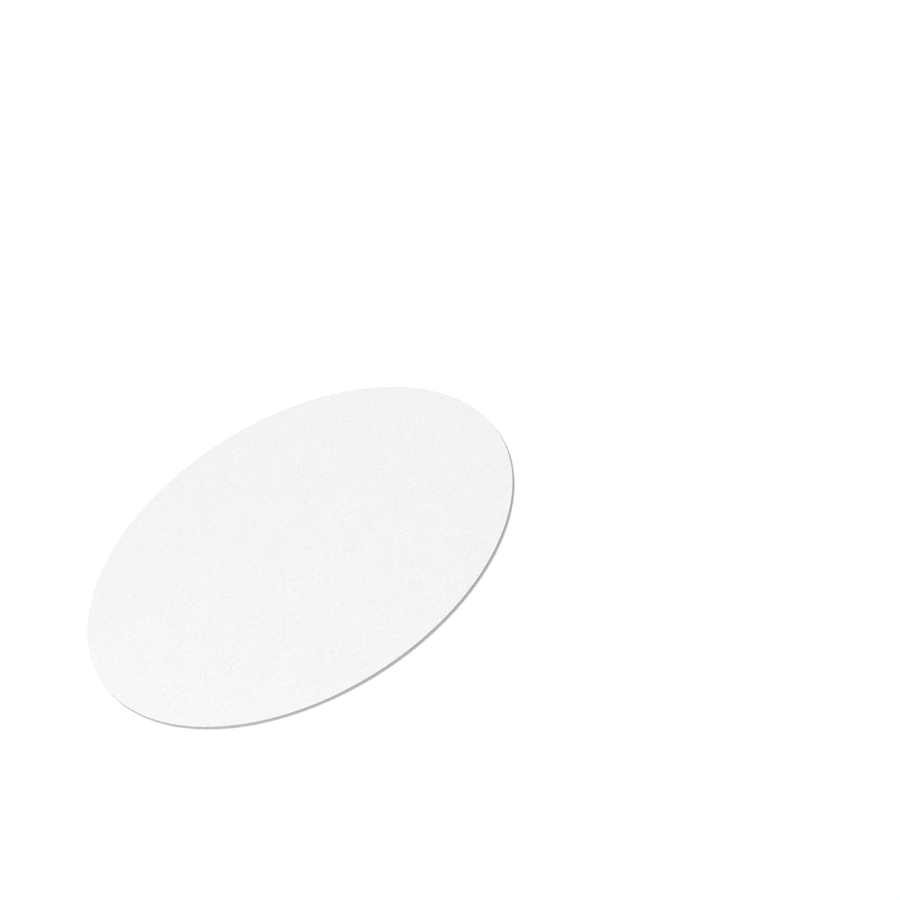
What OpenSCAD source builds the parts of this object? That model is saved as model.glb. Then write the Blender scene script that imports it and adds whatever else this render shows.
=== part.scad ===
// Filter paper disc: one plain round sheet of laboratory filter paper, lying flat.
// The origin is the centre of the underside, +Z points up through the sheet, sizes are in millimetres.

/* [Disc] */
// Diameter the disc is cut to
disc_d = 90; // [25:0.5:320]
// Thickness of the sheet
sheet_t = 0.18; // [0.12:0.01:0.6]

/* [Cut edge] */
// Radius of the rolled-over corner on the upper side, where the cutting die enters the sheet
entry_r = 0.05; // [0.01:0.005:0.08]
// Radius of the sharper corner on the underside, where the cutting die leaves the sheet
exit_r = 0.015; // [0.005:0.005:0.03]

/* [Hidden] */
disc_r = disc_d / 2;
corner_fn = 48;  // segments of the two small corner arcs
disc_fn = 180;   // segments round the disc

// A quarter round for one outer corner of the section: its centre is at height z, and up is 1 or -1
module section_corner(r, z, up) {
    translate([disc_r - r, z]) intersection() {
        circle(r = r, $fn = corner_fn);
        translate([0, min(up, 0) * r]) square(r);
    }
}

// Half of the sheet's cross-section, from the axis out to the cut edge
module sheet_section() {
    band_top = sheet_t - entry_r;
    // the full-width band between the two rounded corners
    translate([0, exit_r]) square([disc_r, band_top - exit_r]);
    // the flat upper face, up to where the edge starts to roll over
    translate([0, band_top]) square([disc_r - entry_r, entry_r]);
    section_corner(entry_r, band_top, 1);
    // the flat underside, which the disc rests on
    square([disc_r - exit_r, exit_r]);
    section_corner(exit_r, exit_r, -1);
}

// The whole disc, cut from the sheet in one stroke
module filter_paper_disc() {
    color("white") rotate_extrude($fn = disc_fn) sheet_section();
}

filter_paper_disc();
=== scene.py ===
# %% [markdown]
# # A filter paper disc
# Filter paper for the laboratory is a felt of pure cotton or wood fibres with nothing added: no
# glaze, no dye, no print. It is made as a wide sheet and cut into discs with a round steel die. So
# the object is one piece: two broad matt faces and a cut edge thinner than a fingernail. All of its
# looks lie in three small things: an outline that is a true circle, a faint grain, and the fine
# shadow that a sheet of 0.18 mm throws on the table.
#
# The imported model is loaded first. The radius and the thickness of the sheet are measured on it.

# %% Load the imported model
import math

import bmesh
import bpy
from mathutils import Matrix, Vector, noise


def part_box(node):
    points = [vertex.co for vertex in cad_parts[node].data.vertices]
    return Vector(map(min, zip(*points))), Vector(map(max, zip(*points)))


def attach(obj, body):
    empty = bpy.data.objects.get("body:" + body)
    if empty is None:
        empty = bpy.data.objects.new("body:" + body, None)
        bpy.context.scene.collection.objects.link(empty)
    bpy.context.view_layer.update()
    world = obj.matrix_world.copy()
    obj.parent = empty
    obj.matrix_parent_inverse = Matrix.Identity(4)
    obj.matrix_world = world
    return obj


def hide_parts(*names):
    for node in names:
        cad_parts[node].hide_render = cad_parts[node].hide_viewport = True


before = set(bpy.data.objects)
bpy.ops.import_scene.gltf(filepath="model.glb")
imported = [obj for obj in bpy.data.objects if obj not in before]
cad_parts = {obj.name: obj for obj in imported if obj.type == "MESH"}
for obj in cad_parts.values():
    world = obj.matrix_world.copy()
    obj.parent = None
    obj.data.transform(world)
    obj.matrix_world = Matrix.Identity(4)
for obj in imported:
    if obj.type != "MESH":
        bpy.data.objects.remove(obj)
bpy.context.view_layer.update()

MM = 0.001
low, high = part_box("filter_paper_disc")
disc_r = max(high.x - low.x, high.y - low.y) / 2
sheet_t = high.z - low.z
print(f"disc {2 * disc_r / MM:.2f} mm across, sheet {sheet_t / MM:.3f} mm thick")

# %% [markdown]
# ## The camera
# The disc lies flat, and the camera looks down on it at about 36 degrees above its plane, so that
# the circle shows as an ellipse a little over half as high as it is wide. A long lens keeps that
# ellipse plain, with little perspective. The camera is rolled, so that the ellipse leans up to the
# right, and it aims at the table beside the disc, so that the disc lies to the lower left. A rolled
# camera was chosen before a tilted disc, because a sheet can't stand on its edge without a support.
#
# The camera's distances are given in radii of the disc, so that another size of disc would fill the
# view in the same way.

# %% Set up the camera
LENS_MM = 112
VIEW_DISTANCE = 12.006 * disc_r
VIEW_ELEVATION = math.radians(36.29)
VIEW_ROLL = math.radians(28.68)
AIM_RIGHT = 0.7846 * disc_r
AIM_BEYOND = 0.030 * disc_r

scene = bpy.context.scene
scene.view_settings.view_transform = "Standard"
camera = bpy.data.objects.new("camera", bpy.data.cameras.new("camera"))
scene.collection.objects.link(camera)
scene.camera = camera
camera.data.lens = LENS_MM
camera.location = VIEW_DISTANCE * Vector((0, -math.cos(VIEW_ELEVATION), math.sin(VIEW_ELEVATION)))
aim_point = Vector((AIM_RIGHT, AIM_BEYOND, 0))
sight = (aim_point - camera.location).to_track_quat("-Z", "Y").to_matrix()
camera.rotation_mode = "QUATERNION"
camera.rotation_quaternion = (sight @ Matrix.Rotation(-VIEW_ROLL, 3, "Z")).to_quaternion()
print(f"camera {VIEW_DISTANCE:.3f} m away, field of view {math.degrees(camera.data.angle):.1f} degrees")

# %% [markdown]
# ## Shader maths
# A material's pattern is a sum of noises. Written as nodes that sum is a long list of links, so one
# small class wraps an output socket: plus, minus and times on it add the Math nodes, and one method
# adds any other node.

# %% A class for shader maths
class Wire:
    """An output socket of a material. Arithmetic on it adds Math nodes to the material's tree."""

    def __init__(self, tree, socket=None):
        self.tree = tree
        self.socket = socket

    def node(self, kind, settings=None, sockets=None, output=0):
        """Adds a node, sets its settings and then its sockets, and returns one output."""
        made = self.tree.nodes.new(kind)
        for name, value in (settings or {}).items():
            setattr(made, name, value)
        for name, value in (sockets or {}).items():
            if isinstance(value, Wire):
                self.tree.links.new(value.socket, made.inputs[name])
            else:
                made.inputs[name].default_value = value
        return Wire(self.tree, made.outputs[output] if len(made.outputs) else None)

    def math(self, operation, first, second=0.0):
        return self.node("ShaderNodeMath", {"operation": operation}, {0: first, 1: second})

    def __add__(self, other):
        return self.math("ADD", self, other)

    def __sub__(self, other):
        return self.math("SUBTRACT", self, other)

    def __rsub__(self, other):
        return self.math("SUBTRACT", other, self)

    def __mul__(self, other):
        return self.math("MULTIPLY", self, other)

    def __abs__(self):
        return self.math("ABSOLUTE", self)

    __radd__ = __add__
    __rmul__ = __mul__

    def at_least(self, floor):
        """The value, or the floor where the value is below it."""
        return self.math("MAXIMUM", self, floor)

    def part(self, axis):
        """One component of a vector: X, Y or Z. A colour's red, green and blue are its X, Y and Z."""
        return self.node("ShaderNodeSeparateXYZ", sockets={"Vector": self}, output=axis)


def new_material(name):
    """An empty material, and a Wire to build it with."""
    material = bpy.data.materials.new(name)
    material.use_nodes = True
    material.node_tree.nodes.clear()
    return material, Wire(material.node_tree)


print("shader maths ready")

# %% [markdown]
# ## The light
# The sheet lies on a plain white table in a white room, and soft light comes from everywhere. One
# broad lamp stands low behind the sheet: it draws the thin shadow round the near edge and brings
# out the grain. One small lamp close by, on the left of the camera, makes that side a little
# brighter than the other.
#
# Each light is given as its share of the paper's brightness. The shares add up to one, so that a
# colour renders as it is written. A light that comes in low strikes the sheet at a slant and
# spreads over more of it, so its strength is divided by the height of its direction. The factors of
# pi are there because a matt sheet spreads what it sends back, and the face of the small lamp
# spreads its light in the same way. A sun lights the same from any distance, so its distance only
# says where its mark stands in the viewport.

# %% Place the lamps
ROOM_SHARE = 0.34
SUN_SHARE = 0.62
LAMP_SHARE = 0.04
SUN_WIDTH = math.radians(10)
SUN_DISTANCE = 1.0
LAMP_DISTANCE = 0.24
LAMP_SIZE = 0.05


def towards(azimuth, elevation):
    """The direction from the disc to a light. Azimuth 0 is on the camera's side, 90 on its right."""
    a = math.radians(azimuth)
    e = math.radians(elevation)
    return Vector((math.sin(a) * math.cos(e), -math.cos(a) * math.cos(e), math.sin(e)))


def add_light(name, kind, direction, distance):
    data = bpy.data.lights.new(name, kind)
    light = bpy.data.objects.new(name, data)
    scene.collection.objects.link(light)
    light.location = direction * distance
    light.rotation_mode = "QUATERNION"
    light.rotation_quaternion = direction.to_track_quat("Z", "Y")
    return data


sun_from = towards(azimuth=-175, elevation=14)
sun = add_light("broad_lamp", "SUN", sun_from, SUN_DISTANCE)
sun.energy = SUN_SHARE * math.pi / sun_from.z
sun.angle = SUN_WIDTH

lamp_from = towards(azimuth=-60, elevation=22)
lamp = add_light("near_lamp", "AREA", lamp_from, LAMP_DISTANCE)
lamp.shape = "DISK"
lamp.size = LAMP_SIZE
lamp.energy = LAMP_SHARE * math.pi**2 * LAMP_DISTANCE**2 / lamp_from.z
shares = ROOM_SHARE + SUN_SHARE + LAMP_SHARE
print(f"sun {sun.energy:.2f} W/m2, lamp {lamp.energy:.3f} W, shares {shares:.2f}")

# %% [markdown]
# ## The white surroundings
# The room gives only its share of the light, and yet it has to look white. A Light Path node tells
# the rays apart: those that come straight from the camera, or by way of metal or glass, see the
# room at full white.
#
# The table glows a little for the same rays, which lifts it to a pure white and lights nothing. It
# is a real surface under that glow, so the sheet's shadow stays.

# %% Make the white room
def seen_directly(wire):
    """1 for a ray from the camera, off metal or through glass, and 0 for a ray that lights a surface."""
    seen = wire.node("ShaderNodeLightPath", output="Is Camera Ray")
    glossy = wire.node("ShaderNodeLightPath", output="Is Glossy Ray")
    through = wire.node("ShaderNodeLightPath", output="Is Transmission Ray")
    return wire.math("MAXIMUM", seen, wire.math("MAXIMUM", glossy, through))


world = bpy.data.worlds.new("white_room")
scene.world = world
world.use_nodes = True
world.node_tree.nodes.clear()
room = Wire(world.node_tree)
room_strength = ROOM_SHARE + (1 - ROOM_SHARE) * seen_directly(room)
background = room.node(
    "ShaderNodeBackground",
    sockets={"Color": (1, 1, 1, 1), "Strength": room_strength},
)
room.node("ShaderNodeOutputWorld", sockets={"Surface": background})
print("the room lights with", ROOM_SHARE, "and shows white")

# %% Make the table
TABLE_SIZE = 4.0
TABLE_WHITE = (0.97, 0.97, 0.97, 1)
TABLE_GLOW = 0.09

bm = bmesh.new()
bmesh.ops.create_grid(bm, x_segments=1, y_segments=1, size=TABLE_SIZE / 2)
table_mesh = bpy.data.meshes.new("table")
bm.to_mesh(table_mesh)
bm.free()
table = bpy.data.objects.new("table", table_mesh)
scene.collection.objects.link(table)

table_material, top = new_material("white_table")
plain = top.node("ShaderNodeBsdfDiffuse", sockets={"Color": TABLE_WHITE})
glow = top.node(
    "ShaderNodeEmission",
    sockets={"Color": (1, 1, 1, 1), "Strength": TABLE_GLOW * seen_directly(top)},
)
both = top.node("ShaderNodeAddShader", sockets={0: plain, 1: glow})
top.node("ShaderNodeOutputMaterial", sockets={"Surface": both})
table_mesh.materials.append(table_material)
print(f"table {TABLE_SIZE} m square, glow {TABLE_GLOW}")

# %% [markdown]
# ## The sheet
# The face needs even, small cells, because it carries the relief of the felt. A fan of triangles or
# a spun profile has needles at its centre and wide cells at its rim. So each face starts as a
# square grid, and every square ring of it is pulled out into a circle. Its outer ring is then a
# true circle of evenly spaced points.

# %% Pull a square grid round
CELLS = 196
HOLD = 0.1 * MM


def pull_round(u, v):
    """The place in the unit disc of a point in the square from -1 to 1. Square rings become circles."""
    if u == v == 0:
        return 0, 0
    if abs(u) >= abs(v):
        turn = math.pi / 4 * v / u
        return u * math.cos(turn), u * math.sin(turn)
    turn = math.pi / 4 * u / v
    return v * math.sin(turn), v * math.cos(turn)


def round_face(bm, height):
    """A round face of even cells. A narrow ring round it keeps the face's shading flat to its edge."""
    made = bmesh.ops.create_grid(bm, x_segments=CELLS, y_segments=CELLS, size=1)
    inner_r = disc_r - HOLD
    for vert in made["verts"]:
        x, y = pull_round(vert.co.x, vert.co.y)
        vert.co = (x * inner_r, y * inner_r, height)
    rim = [edge for vert in made["verts"] for edge in vert.link_edges if edge.is_boundary]
    ring = bmesh.ops.extrude_edge_only(bm, edges=list(dict.fromkeys(rim)))
    outer = [item for item in ring["geom"] if isinstance(item, bmesh.types.BMVert)]
    stretch = disc_r / inner_r
    bmesh.ops.scale(bm, vec=(stretch, stretch, 1), verts=outer)


bm = bmesh.new()
round_face(bm, 0)
round_face(bm, sheet_t)
print(f"two faces with {len(bm.faces)} cells, {2 * disc_r / MM / CELLS:.2f} mm each")

# %% [markdown]
# ## The cut edge
# A die presses into the sheet before it parts it. So the edge is rolled over where the die enters,
# on the upper side, and sharper where it leaves. The wall between the faces is a bridge from rim to
# rim, and two bevels round it, with the same two radii as the solid part has. Two more loops round
# the wall then give its ragged surface points to move.

# %% Bridge the rims and round the corners
ENTRY_R = 0.05 * MM
ENTRY_SEGMENTS = 4
EXIT_R = 0.015 * MM
EXIT_SEGMENTS = 2
SHARP = math.radians(60)
SAME_HEIGHT = 0.001 * MM
WALL_LOOPS = 2

rims = [edge for edge in bm.edges if edge.is_boundary]
bmesh.ops.bridge_loops(bm, edges=rims)
bmesh.ops.recalc_face_normals(bm, faces=bm.faces)


def round_corner(bm, height, radius, segments):
    """Bevels the sharp edges that lie at this height, and says how many there were."""
    corner = [
        edge
        for edge in bm.edges
        if edge.calc_face_angle(0) > SHARP and abs(edge.verts[0].co.z - height) < SAME_HEIGHT
    ]
    bmesh.ops.bevel(
        bm, geom=corner, offset=radius, segments=segments, profile=0.5, affect="EDGES", material=-1
    )
    return len(corner)


print("upper corner", round_corner(bm, sheet_t, ENTRY_R, ENTRY_SEGMENTS), "edges")
print("lower corner", round_corner(bm, 0, EXIT_R, EXIT_SEGMENTS), "edges")

straight_wall = sheet_t - ENTRY_R - EXIT_R
upright = [
    edge for edge in bm.edges
    if abs(edge.verts[0].co.z - edge.verts[1].co.z) > straight_wall / 2
]
bmesh.ops.subdivide_edges(bm, edges=upright, cuts=WALL_LOOPS, use_grid_fill=True)
print(f"wall with {len(upright)} columns, {len(bm.faces)} faces in all")

# %% [markdown]
# ## The felt's relief
# Fibres lie in soft clumps about two millimetres across, so the faces rise and fall by a few
# thousandths of a millimetre. The cut wall is rougher: fibre ends stand back from it unevenly. Both
# are moves of the points by a smooth noise. They only ever go inwards, so the sheet keeps its size
# and lies flat on the table. Across the upper, rounder corner the relief of the wall fades in, so
# that it meets the face without a step.

# %% Give the felt its relief
CLUMP = 2.2 * MM
FACE_RELIEF = 0.004 * MM
TUFT = 0.35 * MM
WALL_RELIEF = 0.012 * MM
WALL_LAYERING = 12
UPPER_FELT = Vector((0, 0, 0.3))
LOWER_FELT = Vector((0, 0, 0.7))
CLUMP_OCTAVES = 2
OCTAVE_STEP = 2.1
OCTAVE_FADE = 1.0
CLUMP_GAIN = 1.6


def clumps(point, size):
    """Smooth noise from 0 to 1 with lumps of about this size."""
    wave = CLUMP_GAIN * noise.fractal(point / size, OCTAVE_FADE, OCTAVE_STEP, CLUMP_OCTAVES)
    return 0.5 + 0.5 * max(-1.0, min(1.0, wave))


face_r = disc_r - (HOLD + ENTRY_R) / 2
for vert in bm.verts:
    flat = Vector((vert.co.x, vert.co.y, 0))
    upper = vert.co.z > sheet_t / 2
    if flat.length < face_r:
        shift = FACE_RELIEF * clumps(flat + (UPPER_FELT if upper else LOWER_FELT), CLUMP)
        vert.co.z += -shift if upper else shift
    else:
        level = Vector((0, 0, WALL_LAYERING * vert.co.z))
        shift = WALL_RELIEF * clumps(flat + level, TUFT)
        fade_in = min(1.0, (flat.length - disc_r + ENTRY_R) / ENTRY_R)
        vert.co -= flat.normalized() * shift * fade_in
print(f"faces rise and fall by {FACE_RELIEF / MM} mm, the wall by {WALL_RELIEF / MM} mm")

# %% Make the mesh
for face in bm.faces:
    face.smooth = True
sheet_mesh = bpy.data.meshes.new("paper_sheet")
bm.to_mesh(sheet_mesh)
triangles = sum(len(face.verts) - 2 for face in bm.faces)
open_edges = sum(not edge.is_manifold for edge in bm.edges)
print(f"volume {bm.calc_volume() / MM**3:.1f} mm3, {triangles} triangles, {open_edges} open edges")
bm.free()

# %% [markdown]
# ## The paper's finish
# What the eye reads as paper is its grain, and here it has three layers. The grain itself is small
# lumps about half a millimetre across, a little stronger in some patches than in others. Under it
# lies a mottle, the slow clouds that show when a sheet is held up to a window. Over both run single
# fibres, which show only from very near.
#
# The pattern runs on Object coordinates in millimetres. The pulp flows on to a moving wire when the
# sheet is made, so the lumps are drawn out one way, here along Y. Through the thickness the pattern
# is squeezed twenty times, so that the two faces differ and the cut edge shows thin layers, as a
# felt of flat-lying fibres does.
#
# A noise is built on a grid of points, and it is crisp where a face cuts it on that grid and soft
# half way between. So the grain's size is chosen to fit a whole number of lumps through the
# squeezed sheet, and both faces are crisp.

# %% Place the pattern
LAYERING = 20
GRAIN_DRAW = 2.0

paper_material, paper = new_material("filter_paper")
here = paper.node("ShaderNodeTexCoord", output="Object")
in_mm = (1 / MM, 1 / MM, LAYERING / MM)
place = paper.node("ShaderNodeMapping", sockets={"Vector": here, "Scale": in_mm})
drawn = paper.node("ShaderNodeMapping", sockets={"Vector": place, "Scale": (1, 1 / GRAIN_DRAW, 1)})
print(f"pattern in millimetres, drawn out {GRAIN_DRAW} times along Y")

# %% Make the grain and the mottle
GRAIN_LAYERS = 7
GRAIN_SIZE = LAYERING * sheet_t / MM / GRAIN_LAYERS
PATCH_SIZE = 3.0
PATCH_CONTRAST = 1.6
MOTTLE_SIZE = 4.0


def lumps(place, size_mm, detail=0, roughness=0.5):
    """Noise about 0, from -0.5 to 0.5, whose largest lumps are about size_mm across."""
    wave = paper.node(
        "ShaderNodeTexNoise",
        {"noise_dimensions": "3D"},
        {"Vector": place, "Scale": 1 / size_mm, "Detail": detail, "Roughness": roughness},
    )
    return wave - 0.5


patches = 1 + lumps(drawn, PATCH_SIZE) * PATCH_CONTRAST
grain = lumps(drawn, GRAIN_SIZE, detail=1, roughness=0.35) * patches
mottle = lumps(drawn, MOTTLE_SIZE, detail=2, roughness=0.75)
print(f"grain {GRAIN_SIZE:.2f} mm, patches {PATCH_SIZE} mm, mottle {MOTTLE_SIZE} mm")

# %% [markdown]
# ## Single fibres
# A fibre is a line much longer than it is wide. A Voronoi texture scatters points, one in each cell
# of a grid, and gives each point some chance numbers of its own. With the cells stretched to a
# fibre's length, each point becomes the middle of one fibre: the distance sideways from it makes
# the fibre's crest, and its chance numbers lean it and set its strength. Seven such layers, turned
# step by step, cross each other as in a felt, and a slow noise bends the place that they are drawn
# on, so that no fibre stays straight.
#
# Voronoi was chosen before a stretched noise, because a stretched noise gives soft streaks, with no
# ends and no width.

# %% Make the fibres
FIBRE_LENGTH = 1.5
FIBRE_GAP = 0.2
FIBRE_HALF_WIDTH = 0.018
FIBRE_LEAN = 0.25
FIBRE_LAYERS = 7
LAYER_SHIFT = 7.3
BEND_SIZE = 1.4
BEND_REACH = 0.9


def bent(place, size_mm, reach_mm):
    """The place moved sideways by a slow noise, so that straight fibres on it bend."""
    slow = paper.node(
        "ShaderNodeTexNoise",
        {"noise_dimensions": "3D"},
        {"Vector": place, "Scale": 1 / size_mm, "Detail": 0},
        output=1,
    )
    grey = (0.5, 0.5, 0.5)
    centred = paper.node("ShaderNodeVectorMath", {"operation": "SUBTRACT"}, {0: slow, 1: grey})
    moved = paper.node("ShaderNodeVectorMath", {"operation": "SCALE"}, {0: centred, "Scale": reach_mm})
    return paper.node("ShaderNodeVectorMath", {"operation": "ADD"}, {0: place, 1: moved})


def fibre_layer(place, turn, shift):
    """One fibre in each long cell, all about one way: up to 1 on a fibre's crest and 0 beside it."""
    turned = paper.node(
        "ShaderNodeMapping",
        {"vector_type": "TEXTURE"},
        {
            "Vector": place,
            "Location": (shift, -shift, 0),
            "Rotation": (0, 0, turn),
            "Scale": (FIBRE_LENGTH, FIBRE_GAP, 1),
        },
    )
    cell = {"Vector": turned, "Scale": 1.0}
    middle = paper.node("ShaderNodeTexVoronoi", sockets=cell, output="Position")
    chance = paper.node("ShaderNodeTexVoronoi", sockets=cell, output="Color")
    offset = paper.node("ShaderNodeVectorMath", {"operation": "SUBTRACT"}, {0: turned, 1: middle})
    lean = (chance.part("X") - 0.5) * (2 * FIBRE_LEAN * FIBRE_LENGTH)
    beside = abs(offset.part("Y") * FIBRE_GAP - offset.part("X") * lean)
    crest = (1 - beside * (1 / FIBRE_HALF_WIDTH)).at_least(0.0)
    return crest * chance.part("Y")


curly = bent(place, BEND_SIZE, BEND_REACH)
fibres = sum(
    fibre_layer(curly, math.pi * step / FIBRE_LAYERS, LAYER_SHIFT * step)
    for step in range(FIBRE_LAYERS)
)
print(f"{FIBRE_LAYERS} layers of fibres, {FIBRE_LENGTH} mm long and {2 * FIBRE_HALF_WIDTH:.3f} mm wide")

# %% [markdown]
# ## Height and colour
# Where fibres lie thick, the sheet is a little higher and also a little whiter, because less light
# gets through. So each layer goes into both: a height of a few thousandths of a millimetre in the
# bump, and a step of colour between two whites. Colour carries most of it, which keeps the grain
# the same whichever way the light comes.
#
# Uncoated paper scatters all its light and has no gloss, so the specular level is 0. A very small
# level wouldn't do instead: seen nearly edge on, against a lamp behind it, even that would turn the
# whole face white. The roughness still follows the grain, for whoever gives the paper a gloss
# later, as wet paper has.
#
# A Mix node has a set of sockets for each kind of value, and all the sets share their names. So the
# ones for colours are reached by their numbers.

# %% Mix the paper
PAPER_LIGHT = (0.952, 0.952, 0.952, 1)
PAPER_DARK = (0.872, 0.872, 0.872, 1)
MIX_FIRST = 6
MIX_SECOND = 7
MIX_RESULT = 2
MIDDLE_TONE = 0.41
GRAIN_TONE = 1.38
MOTTLE_TONE = 0.55
FIBRE_TONE = 0.12
GRAIN_HEIGHT = 0.011
MOTTLE_HEIGHT = 0.012
FIBRE_HEIGHT = 0.0009
ROUGHNESS = 0.9
GRAIN_ROUGHNESS = 0.12

height_mm = grain * GRAIN_HEIGHT + mottle * MOTTLE_HEIGHT + fibres * FIBRE_HEIGHT
bump = paper.node("ShaderNodeBump", sockets={"Height": height_mm, "Strength": 1.0, "Distance": MM})
tone = MIDDLE_TONE + grain * GRAIN_TONE + mottle * MOTTLE_TONE + fibres * FIBRE_TONE
colour = paper.node(
    "ShaderNodeMix",
    {"data_type": "RGBA"},
    {"Factor": tone, MIX_FIRST: PAPER_DARK, MIX_SECOND: PAPER_LIGHT},
    output=MIX_RESULT,
)
shader = paper.node(
    "ShaderNodeBsdfPrincipled",
    sockets={
        "Base Color": colour,
        "Roughness": ROUGHNESS + grain * GRAIN_ROUGHNESS,
        "Specular IOR Level": 0.0,
        "Normal": bump,
    },
)
paper.node("ShaderNodeOutputMaterial", sockets={"Surface": shader})
print(f"paper from {PAPER_DARK[0]} to {PAPER_LIGHT[0]}, {len(paper.tree.nodes)} nodes")

# %% [markdown]
# ## The finished piece
# The sheet moves with the part's one body and stands for its one solid, which is then hidden. It
# takes its finish from the paper slot.

# %% Put the sheet in place
sheet_mesh.materials.append(paper_material)
sheet = bpy.data.objects.new("paper_sheet", sheet_mesh)
scene.collection.objects.link(sheet)
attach(sheet, "root")
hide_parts("filter_paper_disc")
print("paper sheet in place")
